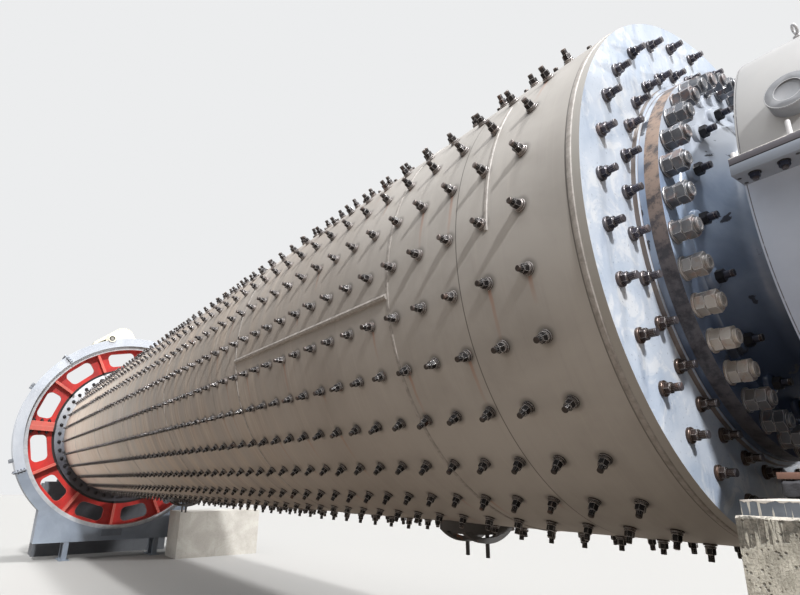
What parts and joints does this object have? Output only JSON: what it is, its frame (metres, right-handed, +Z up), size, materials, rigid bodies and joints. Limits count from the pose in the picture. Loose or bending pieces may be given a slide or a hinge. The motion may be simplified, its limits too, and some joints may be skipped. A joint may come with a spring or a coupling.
{
  "type": "ball mill",
  "caption": "Long steel ball mill drum on two trunnion bearings, with a red girth gear in a ring guard, bolted liners, and concrete piers.",
  "frame": {"origin": "middle of the footprint's box, on the floor", "axes": "+X along the mill axis towards the plain end, away from the gear; +Z up"},
  "size_m": [18.43, 5.8448, 5.7893],
  "materials": {
    "pier_concrete": "matte",
    "bedding_mortar": "matte",
    "sole_plate_steel": "satin",
    "bearing_paint": "satin",
    "bush_metal": "satin",
    "seal_iron": "satin",
    "shell_paint": "satin",
    "head_paint": "satin",
    "trunnion_paint": "gloss",
    "flange_paint": "satin",
    "gear_paint": "satin",
    "manhole_paint": "satin",
    "guard_paint": "satin"
  },
  "bodies": {
    "stand": {"near_pier": "pier_concrete", "far_pier": "pier_concrete", "drive_pier": "pier_concrete", "near_bedding": "bedding_mortar", "far_bedding": "bedding_mortar", "near_sole_plate": "sole_plate_steel", "far_sole_plate": "sole_plate_steel", "near_bearing_base": "bearing_paint", "near_bearing_cap": "bearing_paint", "near_cap_covers": "bearing_paint", "far_bearing_base": "bearing_paint", "far_bearing_cap": "bearing_paint", "far_cap_covers": "bearing_paint", "near_bush": "bush_metal", "far_bush": "bush_metal", "near_seals": "seal_iron", "far_seals": "seal_iron", "guard_top": "guard_paint", "guard_front": "guard_paint", "guard_rear": "guard_paint", "guard_bottom": "guard_paint", "guard_hatch": "guard_paint", "guard_hood": "guard_paint", "guard_base": "guard_paint"},
    "drum": {"near_end_ring": "shell_paint", "near_short_course": "shell_paint", "shell_course_1": "shell_paint", "shell_course_2": "shell_paint", "shell_course_3": "shell_paint", "shell_course_4": "shell_paint", "shell_course_5": "shell_paint", "far_short_course": "shell_paint", "far_end_ring": "shell_paint", "near_head": "head_paint", "far_head": "head_paint", "near_trunnion": "trunnion_paint", "far_trunnion": "trunnion_paint", "shell_flange": "flange_paint", "girth_gear_upper": "gear_paint", "girth_gear_lower": "gear_paint", "manhole_1": "manhole_paint", "manhole_2": "manhole_paint"}
  },
  "joints": [
    {"name": "drum_spin", "type": "hinge", "parent": "stand", "child": "drum", "pos_m": [0, -0.3775, 3], "axis": [1, 0, 0], "continuous": true}
  ]
}
